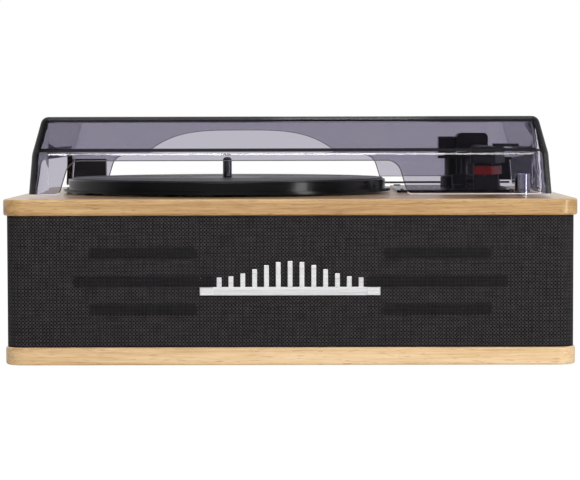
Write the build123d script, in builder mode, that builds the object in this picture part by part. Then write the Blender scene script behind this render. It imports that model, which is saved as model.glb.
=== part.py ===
import os
from math import asin, cos, degrees, radians, sin, sqrt, tan

from build123d import *

os.makedirs("parts", exist_ok=True)

# Driving sizes of the cabinet, in millimetres. The origin is on the table, under the middle.
width = 420.0
depth = 340.0
foot_height = 3.0
base_thickness = 13.0
body_height = 96.0
top_thickness = 12.0
corner_radius = 16.0
board_edge = 1.5
base_margin = 1.25
cloth_inset = 2.5
cloth_thickness = 0.8
cloth_gap = 0.15
cloth_end_gap = 0.3
post_size = 22.0
baffle_thickness = 12.0
side_thickness = 9.0
rear_thickness = 6.0

# Driving sizes of the feet, the badge and the speakers
foot_radius = 12.0
foot_setback = 46.0
badge_length = 131.6
badge_height = 6.1
badge_thickness = 1.8
badge_z = 57.0
badge_end = 10.0
rod_count = 13
rod_pitch = 8.6
rod_width = 3.6
rod_tallest = 19.0
rod_shortest = 7.0
speaker_x = 107.0
slot_height = 8.5
slot_pitch = 20.5
slot_long = 103.0
slot_short = 79.0
speaker_radius = 38.5
frame_depth = 22.0
magnet_radius = 27.0
magnet_depth = 12.0

# Driving sizes of the dust cover
cover_side_room = 16.7
cover_setback = 18.0
cover_rear_room = 20.0
cover_wall = 4.0
cover_lift = 3.0
cover_kink = 32.6
cover_height = 60.0
cover_corner = 16.0
cover_top_edge = 6.0
cover_kink_round = 14.0
lower_lean = 5.0
upper_lean = 16.0
cut_x = -41.5
front_cut_half = 120.5
side_cut_half = 120.5
rear_cut_half = 112.0
cut_slope = 0.3
cut_top = 27.7
cut_round = 11.0
leg_round = 4.0
rear_edge_height = 9.4
arch_x = -43.5
arch_half = 79.0
arch_top = 49.3

# Driving sizes of the turntable
platter_x = -51.0
platter_y = -2.0
platter_gap = 1.8
flange_radius = 130.5
flange_thickness = 2.2
platter_radius = 126.0
platter_top = 11.2
platter_web = 3.0
platter_rim = 4.0
mat_radius = 124.0
mat_thickness = 1.0
spindle_radius = 3.57
shaft_lower_radius = 4.0
spindle_top = 28.2
housing_radius = 8.0
housing_flange = 14.0
housing_depth = 30.0
running_gap = 0.05
belt_ring_radius = 55.0
belt_ring_wall = 2.5
belt_width = 4.0
belt_thickness = 0.8
belt_gap = 0.3
pulley_radius = 6.0
motor_distance = 88.0
motor_angle = 135.0
motor_radius = 18.0
motor_height = 28.0
shaft_radius = 1.0
grommet_radius = 3.5
grommet_height = 3.0
screw_radius = 1.5

# Driving sizes of the arm, its pivot and the controls
plate_left = 84.0
plate_right = 177.0
plate_front = -20.0
plate_rear = 129.0
plate_thickness = 2.0
pivot_x = 143.5
pivot_y = 112.0
collar_radius = 17.0
collar_height = 8.5
pillar_radius = 13.6
pillar_top = 26.0
stub_radius = 5.0
turret_left = 124.5
turret_plate = 2.0
axle_z = 36.0
axle_radius = 2.0
bearing_top = 43.5
bearing_half = 8.0
hub_left = 139.5
hub_right = 165.5
hub_bottom = 31.0
hub_top = 46.5
hub_front = 15.0
hub_rear = 12.0
tube_x = 154.0
tube_z = 32.5
tube_radius = 4.5
tube_end = -102.0
head_angle = 20.0
head_width = 19.0
head_length = 36.0
head_bottom = 25.0
head_top = 37.0
head_wall = 2.0
cartridge_width = 13.0
cartridge_bottom = 22.7
stylus_bottom = 16.7
stylus_tip = 15.0
weight_radius = 8.5
weight_length = 11.0
weight_z = 38.0
lift_inner = 30.0
lift_outer = 36.0
lift_thickness = 2.0
lift_gap = 0.5
lift_post = 2.5
rest_y = -5.0
rest_width = 20.0
rest_depth = 10.0
knob_x = 175.6
knob_y = -96.0
knob_radius = 5.8
knob_height = 16.6
pot_radius = 8.0
pot_height = 9.0

# Driving sizes of the hinges
hinge_inner = 160.6
hinge_block_depth = 12.0
hinge_block_top = 24.8
hinge_block_bottom = 6.2
rod_radius = 0.9
rod_setback = 4.0
rod_z = 3.8
bracket_thickness = 2.0
side_gap = 0.4

# Heights and outlines that follow from the driving sizes
base_z = foot_height
body_z = base_z + base_thickness
board_z = body_z + body_height
deck_z = board_z + top_thickness
timber_x = width / 2 - cloth_inset - cloth_thickness - cloth_gap
timber_y = depth / 2 - cloth_inset - cloth_thickness - cloth_gap
timber_radius = corner_radius - cloth_inset - cloth_thickness - cloth_gap
panel_half = timber_x - timber_radius - 0.5
panel_screw_inset = 4.5
cover_width = width - 2 * cover_side_room
cover_depth = depth - cover_setback - cover_rear_room
cover_y = -depth / 2 + cover_setback + cover_depth / 2
cover_rear = cover_y + cover_depth / 2
plate_z = deck_z + plate_thickness
motor_x = platter_x + motor_distance * cos(radians(motor_angle))
motor_y = platter_y + motor_distance * sin(radians(motor_angle))


def finish(piece, name):
    """Label a finished piece and write it to its own file."""
    piece.part.label = name
    export_step(piece.part, f"parts/{name}.step")


def rounded_board(size_x, size_y, radius, z, thickness, edge):
    """A flat board with round corners in plan and eased long edges."""
    with BuildPart() as board:
        with BuildSketch(Plane.XY.offset(z)):
            RectangleRounded(size_x, size_y, radius)
        extrude(amount=thickness)
        fillet(board.faces().sort_by(Axis.Z)[0].edges(), edge)
        fillet(board.faces().sort_by(Axis.Z)[-1].edges(), edge)
    return board.part


# Base board, one solid board with round corners
base_form = rounded_board(width - 2 * base_margin, depth - 2 * base_margin, corner_radius - base_margin,
                          base_z, base_thickness, board_edge)
foot_places = [(sx * (width / 2 - foot_setback), sy * (depth / 2 - foot_setback))
               for sx in (-1, 1) for sy in (-1, 1)]
foot_screw_length = 9.0
with BuildPart() as base_board:
    add(base_form)
    with Locations(*[(x, y, base_z) for x, y in foot_places]):
        Cylinder(screw_radius, foot_screw_length - foot_height / 2,
                 align=(Align.CENTER, Align.CENTER, Align.MIN), mode=Mode.SUBTRACT)
finish(base_board, "base_board")

# Four rubber feet, each with a sunk screw
foot_recess = 1.5
screw_head_radius = 3.0
with BuildPart() as rubber_feet:
    for x, y in foot_places:
        with BuildSketch(Plane.XY.offset(0)):
            with Locations((x, y)):
                Circle(foot_radius)
        extrude(amount=foot_height)
        with BuildSketch(Plane.XY.offset(0)):
            with Locations((x, y)):
                Circle(screw_head_radius + 0.3)
        extrude(amount=foot_recess, mode=Mode.SUBTRACT)
        with BuildSketch(Plane.XY.offset(0)):
            with Locations((x, y)):
                Circle(screw_radius)
        extrude(amount=foot_height, mode=Mode.SUBTRACT)
finish(rubber_feet, "rubber_feet")

# Screws of the feet, up into the base board, and of the rear panel, into the rear posts
rear_screw_places = [(sx * (panel_half - panel_screw_inset), z)
                     for sx in (-1, 1) for z in (body_z + 12, body_z + body_height / 2, board_z - 12)]
rear_screw_length = 18.0
with BuildPart() as cabinet_screws:
    for x, y in foot_places:
        with BuildSketch(Plane.XY.offset(foot_recess - 1.0)):
            with Locations((x, y)):
                Circle(screw_head_radius)
        extrude(amount=1.0)
        with BuildSketch(Plane.XY.offset(foot_recess)):
            with Locations((x, y)):
                Circle(screw_radius)
        extrude(amount=foot_screw_length - foot_recess)
    for x, z in rear_screw_places:
        with BuildSketch(Plane.XZ.offset(-timber_y)):
            with Locations((x, z)):
                Circle(screw_head_radius)
        extrude(amount=-1.2)
        with BuildSketch(Plane.XZ.offset(-timber_y)):
            with Locations((x, z)):
                Circle(screw_radius)
        extrude(amount=rear_screw_length)
finish(cabinet_screws, "cabinet_screws")

# Corner posts, quarter-round on the outside, the rear pair rebated for the rear panel
with BuildPart() as corner_posts:
    for sx in (-1, 1):
        for sy in (-1, 1):
            with BuildSketch(Plane.XY.offset(body_z)):
                RectangleRounded(2 * timber_x, 2 * timber_y, timber_radius)
                with Locations((sx * (timber_x - post_size / 2), sy * (timber_y - post_size / 2))):
                    Rectangle(post_size, post_size, mode=Mode.INTERSECT)
                with Locations((0, timber_y)):
                    Rectangle(2 * panel_half, 2 * rear_thickness, mode=Mode.SUBTRACT)
            extrude(amount=body_height)
    for x, z in rear_screw_places:
        with BuildSketch(Plane.XZ.offset(-timber_y)):
            with Locations((x, z)):
                Circle(screw_radius)
        extrude(amount=rear_screw_length, mode=Mode.SUBTRACT)
finish(corner_posts, "corner_posts")

# Side panels between the posts
for side, sx in (("left", -1), ("right", 1)):
    with BuildPart() as side_panel:
        with BuildSketch(Plane.XY.offset(body_z)):
            with Locations((sx * (timber_x - side_thickness / 2), 0)):
                Rectangle(side_thickness, 2 * (timber_y - post_size))
        extrude(amount=body_height)
    finish(side_panel, f"side_panel_{side}")

# Front baffle with three sound slots before each speaker
baffle_half = timber_x - post_size
speaker_screw_circle = speaker_radius + 3.5
speaker_screw_depth = 8.0
slot_z = body_z + body_height / 2
with BuildPart() as front_baffle:
    with BuildSketch(Plane.XZ.offset(timber_y)):
        with Locations((0, slot_z)):
            Rectangle(2 * baffle_half, body_height)
        for sx in (-1, 1):
            for row, length in ((-1, slot_short), (0, slot_long), (1, slot_short)):
                with Locations((sx * speaker_x, slot_z + row * slot_pitch)):
                    SlotOverall(length, slot_height, mode=Mode.SUBTRACT)
    extrude(amount=-baffle_thickness)
    with BuildSketch(Plane.XZ.offset(timber_y - baffle_thickness)):
        for sx in (-1, 1):
            with Locations((sx * speaker_x, slot_z)):
                with PolarLocations(speaker_screw_circle, 4, start_angle=45):
                    Circle(screw_radius)
    extrude(amount=speaker_screw_depth, mode=Mode.SUBTRACT)
finish(front_baffle, "front_baffle")

# Rear panel with the holes of the sockets and of the power inlet
socket_z = body_z + 30.0
socket_gap = 0.2
line_shell = 4.15
line_hole = line_shell + socket_gap
line_x = (-84.0, -64.0)
jack_x = -40.0
inlet_x = -120.0
jack_hole = 3.6
inlet_hole = 5.5
with BuildPart() as rear_panel:
    with BuildSketch(Plane.XZ.offset(-timber_y)):
        with Locations((0, slot_z)):
            Rectangle(2 * panel_half, body_height)
        with Locations(*rear_screw_places):
            Circle(screw_radius, mode=Mode.SUBTRACT)
        with Locations(*[(x, socket_z) for x in line_x]):
            Circle(line_hole, mode=Mode.SUBTRACT)
        with Locations((jack_x, socket_z)):
            Circle(jack_hole, mode=Mode.SUBTRACT)
        with Locations((inlet_x, socket_z)):
            Circle(inlet_hole, mode=Mode.SUBTRACT)
    extrude(amount=rear_thickness)
finish(rear_panel, "rear_panel")

# Line sockets and the small jack, each a collar through the panel around an open bore
jack_bore = 1.8
socket_depth = 14.0
with BuildPart() as line_sockets:
    with BuildSketch(Plane.XZ.offset(-(timber_y - socket_depth))):
        with Locations(*[(x, socket_z) for x in line_x]):
            Circle(line_shell)
            Circle(jack_bore, mode=Mode.SUBTRACT)
    extrude(amount=-(socket_depth + cloth_inset))
    with BuildSketch(Plane.XZ.offset(-(timber_y - socket_depth))):
        with Locations((jack_x, socket_z)):
            Circle(jack_hole - socket_gap)
            Circle(jack_bore, mode=Mode.SUBTRACT)
    extrude(amount=-(socket_depth + cloth_thickness))
finish(line_sockets, "line_sockets")

# Power inlet, a round plastic collar with a bore for a low-voltage plug
inlet_bore = 2.75
with BuildPart() as power_inlet:
    with BuildSketch(Plane.XZ.offset(-(timber_y - socket_depth))):
        with Locations((inlet_x, socket_z)):
            Circle(inlet_hole - socket_gap)
            Circle(inlet_bore, mode=Mode.SUBTRACT)
    extrude(amount=-(socket_depth + cloth_thickness))
finish(power_inlet, "power_inlet")

# Amplifier board behind the sockets, on four posts of its own, with its parts
board_x = -80.0
amp_width = 104.0
amp_depth = 62.0
amp_z = socket_z - 10.0
amp_thickness = 1.6
amp_y = timber_y - socket_depth - 2.0 - amp_depth / 2
with BuildPart() as amplifier_board:
    with BuildSketch(Plane.XY.offset(amp_z)):
        with Locations((board_x, amp_y)):
            Rectangle(amp_width, amp_depth)
    extrude(amount=amp_thickness)
    with BuildSketch(Plane.XY.offset(body_z)):
        with Locations((board_x, amp_y)):
            with GridLocations(amp_width - 10, amp_depth - 10, 2, 2):
                Circle(3)
    extrude(amount=amp_z - body_z)
finish(amplifier_board, "amplifier_board")

# Heat sink, capacitors and chips on the board
sink_height = 22.0
with BuildPart() as amplifier_components:
    with BuildSketch(Plane.XY.offset(amp_z + amp_thickness)):
        with Locations((board_x - 30, amp_y - 8)):
            Rectangle(30, 4)
            with GridLocations(5.0, 0, 6, 1):
                with Locations((0, 8)):
                    Rectangle(1.4, 14)
    extrude(amount=sink_height)
    with BuildSketch(Plane.XY.offset(amp_z + amp_thickness)):
        with Locations((board_x + 12, amp_y - 12), (board_x + 28, amp_y - 12)):
            Circle(6)
    extrude(amount=20)
    with BuildSketch(Plane.XY.offset(amp_z + amp_thickness)):
        with Locations((board_x + 4, amp_y + 12), (board_x + 26, amp_y + 12)):
            Rectangle(14, 9)
    extrude(amount=3)
finish(amplifier_components, "amplifier_components")

# Grille cloth around the whole body, open only behind the rear panel
with BuildPart() as grille_cloth:
    with BuildSketch(Plane.XY.offset(body_z + cloth_end_gap)):
        RectangleRounded(width - 2 * cloth_inset, depth - 2 * cloth_inset, corner_radius - cloth_inset)
        RectangleRounded(width - 2 * cloth_inset - 2 * cloth_thickness,
                         depth - 2 * cloth_inset - 2 * cloth_thickness,
                         corner_radius - cloth_inset - cloth_thickness, mode=Mode.SUBTRACT)
        with Locations((0, depth / 2)):
            Rectangle(2 * (panel_half + cloth_end_gap), post_size, mode=Mode.SUBTRACT)
    extrude(amount=body_height - 2 * cloth_end_gap)
finish(grille_cloth, "grille_cloth")

# Badge bar on the cloth, with thicker end blocks
badge_y = -(depth / 2 - cloth_inset)
badge_end_thickness = 2.3
with BuildPart() as badge_bar:
    with BuildSketch(Plane.XZ.offset(-badge_y)):
        with Locations((0, badge_z)):
            Rectangle(badge_length, badge_height)
    extrude(amount=badge_thickness)
    with BuildSketch(Plane.XZ.offset(-badge_y)):
        end_x = (badge_length - badge_end) / 2
        with Locations((-end_x, badge_z), (end_x, badge_z)):
            Rectangle(badge_end, badge_height)
    extrude(amount=badge_end_thickness)
finish(badge_bar, "badge_bar")

# Ornament of plain upright rods that stand on the badge bar, tallest in the middle
with BuildPart() as badge_ornament:
    for i in range(rod_count):
        place = i - (rod_count - 1) / 2
        rise = cos(place / (rod_count - 1) * 3.14159) ** 2
        height = rod_shortest + (rod_tallest - rod_shortest) * rise
        with BuildSketch(Plane.XZ.offset(-badge_y)):
            with Locations((place * rod_pitch, badge_z + badge_height / 2 + height / 2)):
                Rectangle(rod_width, height)
        extrude(amount=badge_thickness)
finish(badge_ornament, "badge_ornament")

# Speakers behind the baffle: frame, soft surround, cone and magnet for each side
speaker_front = -(timber_y - baffle_thickness)
frame_rim = 3.0
flange_plate = 2.5
surround_width = 6.0
surround_gap = 0.3
cone_radius = speaker_radius - frame_rim - surround_width - surround_gap
cone_back_radius = 10.0
cone_depth = 14.0
cone_wall = 1.2
cap_radius = 9.0
for side, sx in (("left", -1), ("right", 1)):
    speaker_axis = Plane.XZ.offset(-speaker_front)
    with BuildPart() as speaker_frame:
        with BuildSketch(speaker_axis):
            with Locations((sx * speaker_x, slot_z)):
                RectangleRounded(2 * speaker_radius + 4, 2 * speaker_radius + 4, 16)
                Circle(speaker_radius - frame_rim, mode=Mode.SUBTRACT)
                with PolarLocations(speaker_screw_circle, 4, start_angle=45):
                    Circle(screw_radius, mode=Mode.SUBTRACT)
        extrude(amount=-flange_plate)
        with BuildSketch(speaker_axis.offset(-flange_plate)):
            with Locations((sx * speaker_x, slot_z)):
                Circle(speaker_radius - 1)
                Circle(speaker_radius - frame_rim, mode=Mode.SUBTRACT)
        extrude(amount=-(frame_depth - flange_plate))
        with BuildSketch(speaker_axis.offset(-frame_depth)):
            with Locations((sx * speaker_x, slot_z)):
                Circle(speaker_radius - 1)
                Circle(cone_back_radius + 3, mode=Mode.SUBTRACT)
        extrude(amount=-2)
    finish(speaker_frame, f"speaker_frame_{side}")
    with BuildPart() as speaker_surround:
        with BuildSketch(speaker_axis.offset(-1.0)):
            with Locations((sx * speaker_x, slot_z)):
                Circle(speaker_radius - frame_rim)
                Circle(cone_radius + surround_gap, mode=Mode.SUBTRACT)
        extrude(amount=-1.5)
    finish(speaker_surround, f"speaker_surround_{side}")
    with BuildPart() as speaker_cone:
        cone_middle = (sx * speaker_x, speaker_front, slot_z)
        with BuildSketch(Plane(origin=cone_middle, x_dir=(1, 0, 0), z_dir=(0, 0, 1))):
            with BuildLine():
                Polyline((cap_radius, cone_depth), (cone_radius, 2.0), (cone_radius, 2.0 + cone_wall),
                         (cone_back_radius, cone_depth + 4), (0, cone_depth + 4), (0, cone_depth - 2),
                         (cap_radius, cone_depth))
            make_face()
        revolve(axis=Axis((sx * speaker_x, speaker_front, slot_z), (0, 1, 0)))
    finish(speaker_cone, f"speaker_cone_{side}")
    with BuildPart() as speaker_magnet:
        with BuildSketch(speaker_axis.offset(-frame_depth - 2)):
            with Locations((sx * speaker_x, slot_z)):
                Circle(magnet_radius)
        extrude(amount=-magnet_depth)
    finish(speaker_magnet, f"speaker_magnet_{side}")

# Eight screws that hold the speakers to the baffle
with BuildPart() as speaker_screws:
    with BuildSketch(Plane.XZ.offset(-speaker_front - flange_plate)):
        for sx in (-1, 1):
            with Locations((sx * speaker_x, slot_z)):
                with PolarLocations(speaker_screw_circle, 4, start_angle=45):
                    Circle(2 * screw_radius)
    extrude(amount=-1.5)
    with BuildSketch(Plane.XZ.offset(-speaker_front - flange_plate)):
        for sx in (-1, 1):
            with Locations((sx * speaker_x, slot_z)):
                with PolarLocations(speaker_screw_circle, 4, start_angle=45):
                    Circle(screw_radius)
    extrude(amount=flange_plate + speaker_screw_depth)
finish(speaker_screws, "speaker_screws")

# Top board with the holes of the bearing, motor, arm, lift, switches, volume shaft and screws
top_form = rounded_board(width, depth, corner_radius, board_z, top_thickness, board_edge)
motor_hole = 8.0
arm_hole = stub_radius + 2.0
lift_x = pivot_x - 3.5
lift_y = pivot_y - sqrt(((lift_inner + lift_outer) / 2) ** 2 - 3.5 ** 2)
cue_y = lift_y - 4.6
switch_y = 20.0
selector_x = 135.0
stop_x = 160.0
switch_pocket_x = 22.0
switch_pocket_y = 8.0
shaft_hole = 3.4
motor_screw_circle = 13.0
plate_screw_inset = 6.0
plate_mid_x = (plate_left + plate_right) / 2
plate_mid_y = (plate_front + plate_rear) / 2
plate_screw_x = plate_right - plate_left - 2 * plate_screw_inset
plate_screw_y = plate_rear - plate_front - 2 * plate_screw_inset
with BuildPart() as top_board:
    add(top_form)
    with BuildSketch(Plane.XY.offset(board_z)):
        with Locations((platter_x, platter_y)):
            Circle(housing_radius)
        with Locations((motor_x, motor_y)):
            Circle(motor_hole)
            with PolarLocations(motor_screw_circle, 3):
                Circle(screw_radius)
        with Locations((pivot_x, pivot_y)):
            Circle(arm_hole)
        with Locations((lift_x, lift_y)):
            Circle(lift_post + 1.0)
        with Locations((selector_x, switch_y), (stop_x, switch_y)):
            Rectangle(switch_pocket_x, switch_pocket_y)
        with Locations((knob_x, knob_y)):
            Circle(shaft_hole)
    extrude(amount=top_thickness, mode=Mode.SUBTRACT)
    with BuildSketch(Plane.XY.offset(deck_z)):
        with Locations((plate_mid_x, plate_mid_y)):
            with GridLocations(plate_screw_x, plate_screw_y, 2, 2):
                Circle(screw_radius)
    extrude(amount=-8, mode=Mode.SUBTRACT)
finish(top_board, "top_board")

# Bearing housing, a closed barrel hung from its flange on the deck
housing_floor = 3.0
housing_flange_thickness = 2.0
with BuildPart() as bearing_housing:
    with BuildSketch(Plane.XY.offset(deck_z)):
        with Locations((platter_x, platter_y)):
            Circle(housing_flange)
    extrude(amount=housing_flange_thickness)
    with BuildSketch(Plane.XY.offset(deck_z)):
        with Locations((platter_x, platter_y)):
            Circle(housing_radius)
    extrude(amount=-housing_depth)
    with BuildSketch(Plane.XY.offset(deck_z + housing_flange_thickness)):
        with Locations((platter_x, platter_y)):
            Circle(shaft_lower_radius + running_gap)
    extrude(amount=-(housing_depth + housing_flange_thickness - housing_floor), mode=Mode.SUBTRACT)
finish(bearing_housing, "bearing_housing")

# Spindle, pressed into the platter's hub, with a rounded tip
spindle_bottom = -housing_depth + housing_floor + 0.3
with BuildPart() as spindle:
    with BuildSketch(Plane.XY.offset(deck_z + spindle_bottom)):
        with Locations((platter_x, platter_y)):
            Circle(shaft_lower_radius)
    extrude(amount=platter_top + mat_thickness - spindle_bottom)
    with BuildSketch(Plane.XY.offset(deck_z + platter_top + mat_thickness)):
        with Locations((platter_x, platter_y)):
            Circle(spindle_radius)
    extrude(amount=spindle_top - platter_top - mat_thickness)
    fillet(spindle.faces().sort_by(Axis.Z)[-1].edges(), spindle_radius * 0.8)
finish(spindle, "spindle")

# Platter, a hollow disc with a lower flange, a hub and an inner ring for the belt
web_bottom = platter_top - platter_web
hub_radius = 11.0
hub_bottom_z = housing_flange_thickness + 0.3
with BuildPart() as platter:
    with BuildSketch(Plane.XY.offset(deck_z + platter_gap)):
        with Locations((platter_x, platter_y)):
            Circle(flange_radius)
            Circle(platter_radius - platter_rim, mode=Mode.SUBTRACT)
    extrude(amount=flange_thickness)
    with BuildSketch(Plane.XY.offset(deck_z + platter_gap)):
        with Locations((platter_x, platter_y)):
            Circle(platter_radius)
            Circle(platter_radius - platter_rim, mode=Mode.SUBTRACT)
    extrude(amount=platter_top - platter_gap)
    with BuildSketch(Plane.XY.offset(deck_z + web_bottom)):
        with Locations((platter_x, platter_y)):
            Circle(platter_radius - platter_rim)
    extrude(amount=platter_web)
    with BuildSketch(Plane.XY.offset(deck_z + hub_bottom_z)):
        with Locations((platter_x, platter_y)):
            Circle(hub_radius)
            Circle(belt_ring_radius)
            Circle(belt_ring_radius - belt_ring_wall, mode=Mode.SUBTRACT)
            Circle(hub_radius)
    extrude(amount=web_bottom - hub_bottom_z)
    with BuildSketch(Plane.XY.offset(deck_z)):
        with Locations((platter_x, platter_y)):
            Circle(shaft_lower_radius)
    extrude(amount=platter_top + 1, mode=Mode.SUBTRACT)
    fillet(platter.edges().filter_by(GeomType.CIRCLE).group_by(Axis.Z)[-1].sort_by(SortBy.RADIUS)[-1], 0.8)
finish(platter, "platter")

# Rubber mat on the platter
with BuildPart() as platter_mat:
    with BuildSketch(Plane.XY.offset(deck_z + platter_top)):
        with Locations((platter_x, platter_y)):
            Circle(mat_radius)
            Circle(shaft_lower_radius + 0.2, mode=Mode.SUBTRACT)
    extrude(amount=mat_thickness)
finish(platter_mat, "platter_mat")

# Motor under the top board, its shaft up through the board, on three rubber grommets
motor_top = board_z - grommet_height
pulley_bottom = 2.6
pulley_height = 5.6
with BuildPart() as motor:
    with BuildSketch(Plane.XY.offset(motor_top)):
        with Locations((motor_x, motor_y)):
            Circle(motor_radius)
    extrude(amount=-motor_height)
    with BuildSketch(Plane.XY.offset(motor_top)):
        with Locations((motor_x, motor_y)):
            Circle(shaft_radius + running_gap)
    extrude(amount=-10, mode=Mode.SUBTRACT)
finish(motor, "motor")

with BuildPart() as motor_grommets:
    with BuildSketch(Plane.XY.offset(motor_top)):
        with Locations((motor_x, motor_y)):
            with PolarLocations(motor_screw_circle, 3):
                Circle(grommet_radius)
                Circle(screw_radius, mode=Mode.SUBTRACT)
    extrude(amount=grommet_height)
finish(motor_grommets, "motor_grommets")

with BuildPart() as motor_pulley:
    with BuildSketch(Plane.XY.offset(motor_top - 9)):
        with Locations((motor_x, motor_y)):
            Circle(shaft_radius)
    extrude(amount=deck_z + pulley_bottom + pulley_height - motor_top + 9)
    with BuildSketch(Plane.XY.offset(deck_z + pulley_bottom)):
        with Locations((motor_x, motor_y)):
            Circle(pulley_radius)
    extrude(amount=pulley_height)
finish(motor_pulley, "motor_pulley")

# Drive belt around the platter's inner ring and the pulley, two arcs and two tangents
belt_big = belt_ring_radius + belt_gap
belt_small = pulley_radius + belt_gap
belt_z = 3.4


def belt_outline(extra):
    """Outline of the belt, grown outwards by extra from its inner face."""
    big = belt_big + extra
    small = belt_small + extra
    tilt = degrees(asin((big - small) / motor_distance))
    with BuildSketch(Plane.XY) as outline:
        with Locations((platter_x, platter_y)):
            Circle(big)
        with Locations((motor_x, motor_y)):
            Circle(small)
        with BuildLine():
            ends = []
            for turn in (90 - tilt, tilt - 90):
                way = radians(motor_angle + turn)
                ends.append((platter_x + big * cos(way), platter_y + big * sin(way)))
                ends.append((motor_x + small * cos(way), motor_y + small * sin(way)))
            Polyline(ends[0], ends[1], ends[3], ends[2], ends[0])
        make_face()
    return outline.sketch


belt_outer = Pos(0, 0, deck_z + belt_z) * belt_outline(belt_thickness)
belt_inner = Pos(0, 0, deck_z + belt_z) * belt_outline(0)
with BuildPart() as drive_belt:
    extrude(belt_outer, amount=belt_width)
    extrude(belt_inner, amount=belt_width, mode=Mode.SUBTRACT)
finish(drive_belt, "drive_belt")

# Volume control under the board and its tall knob, whose stem turns in it
stem_radius = 2.5
knob_gap = 0.4
with BuildPart() as volume_control:
    with BuildSketch(Plane.XY.offset(board_z)):
        with Locations((knob_x, knob_y)):
            Circle(pot_radius)
    extrude(amount=-pot_height)
    with BuildSketch(Plane.XY.offset(board_z)):
        with Locations((knob_x, knob_y)):
            Circle(stem_radius + running_gap)
    extrude(amount=-(pot_height - 2), mode=Mode.SUBTRACT)
finish(volume_control, "volume_control")

with BuildPart() as volume_knob:
    with BuildSketch(Plane.XY.offset(board_z - pot_height + 2.3)):
        with Locations((knob_x, knob_y)):
            Circle(stem_radius)
    extrude(amount=top_thickness + pot_height - 2.3 + knob_gap)
    with BuildSketch(Plane.XY.offset(deck_z + knob_gap)):
        with Locations((knob_x, knob_y)):
            Circle(knob_radius)
    extrude(amount=knob_height - knob_gap)
    chamfer(volume_knob.faces().sort_by(Axis.Z)[-1].edges(), 0.5)
finish(volume_knob, "volume_knob")

# Control plate on the deck, beside the platter
selector_travel = 6.0
stop_travel = 5.0
slot_clear = 0.3
stem_wide = 2.4
stem_long = 5.0
with BuildPart() as control_plate:
    with BuildSketch(Plane.XY.offset(deck_z)):
        with Locations((plate_mid_x, plate_mid_y)):
            RectangleRounded(plate_right - plate_left, plate_rear - plate_front, 5)
            with GridLocations(plate_screw_x, plate_screw_y, 2, 2):
                Circle(screw_radius, mode=Mode.SUBTRACT)
        with Locations((pivot_x, pivot_y)):
            Circle(arm_hole, mode=Mode.SUBTRACT)
        with Locations((lift_x, lift_y)):
            Circle(lift_post + 1.0, mode=Mode.SUBTRACT)
        with Locations((selector_x, switch_y)):
            Rectangle(stem_long + 2 * selector_travel + 2 * slot_clear, stem_wide + 2 * slot_clear,
                      mode=Mode.SUBTRACT)
        with Locations((stop_x + stop_travel / 2, switch_y)):
            Rectangle(stem_long + stop_travel + 2 * slot_clear, stem_wide + 2 * slot_clear,
                      mode=Mode.SUBTRACT)
    extrude(amount=plate_thickness)
finish(control_plate, "control_plate")

# Screws of the control plate and of the motor, all down into the deck
with BuildPart() as deck_screws:
    with BuildSketch(Plane.XY.offset(plate_z)):
        with Locations((plate_mid_x, plate_mid_y)):
            with GridLocations(plate_screw_x, plate_screw_y, 2, 2):
                Circle(2 * screw_radius)
    extrude(amount=1.0)
    with BuildSketch(Plane.XY.offset(plate_z)):
        with Locations((plate_mid_x, plate_mid_y)):
            with GridLocations(plate_screw_x, plate_screw_y, 2, 2):
                Circle(screw_radius)
    extrude(amount=-8)
    with BuildSketch(Plane.XY.offset(deck_z)):
        with Locations((motor_x, motor_y)):
            with PolarLocations(motor_screw_circle, 3):
                Circle(2 * screw_radius)
    extrude(amount=1.0)
    with BuildSketch(Plane.XY.offset(deck_z)):
        with Locations((motor_x, motor_y)):
            with PolarLocations(motor_screw_circle, 3):
                Circle(screw_radius)
    extrude(amount=-(top_thickness + grommet_height))
finish(deck_screws, "deck_screws")


def slide_cap(name, x):
    """A slide switch: a cap above the plate, a stem through its slot and a foot below it."""
    with BuildPart() as cap:
        with BuildSketch(Plane.XY.offset(plate_z + slot_clear)):
            with Locations((x, switch_y)):
                Rectangle(8, 5)
        extrude(amount=3.2)
        fillet(cap.faces().sort_by(Axis.Z)[-1].edges(), 0.8)
        with BuildSketch(Plane.XY.offset(deck_z - 3)):
            with Locations((x, switch_y)):
                Rectangle(stem_long, stem_wide)
        extrude(amount=plate_thickness + 3 + slot_clear)
        with BuildSketch(Plane.XY.offset(deck_z - 3)):
            with Locations((x, switch_y)):
                Rectangle(8, 6)
        extrude(amount=3 - slot_clear)
    finish(cap, name)


slide_cap("speed_selector", selector_x)
slide_cap("auto_stop_switch", stop_x)

# Collar in which the arm's turret turns
collar_top = plate_thickness + collar_height
with BuildPart() as arm_base_collar:
    with BuildSketch(Plane.XY.offset(plate_z)):
        with Locations((pivot_x, pivot_y)):
            Circle(collar_radius)
    extrude(amount=collar_height)
    fillet(arm_base_collar.faces().sort_by(Axis.Z)[-1].edges(), 2.0)
    with BuildSketch(Plane.XY.offset(plate_z)):
        with Locations((pivot_x, pivot_y)):
            Circle(stub_radius + running_gap)
    extrude(amount=collar_height, mode=Mode.SUBTRACT)
finish(arm_base_collar, "arm_base_collar")

# Turret: a stub in the collar, the pillar and a small table for the bearing block
turret_foot = 0.3
with BuildPart() as arm_turret:
    with BuildSketch(Plane.XY.offset(deck_z - 6)):
        with Locations((pivot_x, pivot_y)):
            Circle(stub_radius)
    extrude(amount=6 + collar_top + turret_foot)
    with BuildSketch(Plane.XY.offset(deck_z + collar_top + turret_foot)):
        with Locations((pivot_x, pivot_y)):
            Circle(pillar_radius)
    extrude(amount=pillar_top - collar_top - turret_foot)
    with BuildSketch(Plane.XY.offset(deck_z + pillar_top)):
        with Locations(((turret_left + pivot_x + pillar_radius) / 2, pivot_y)):
            Rectangle(pivot_x + pillar_radius - turret_left, 2 * bearing_half)
    extrude(amount=turret_plate)
finish(arm_turret, "arm_turret")

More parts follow.
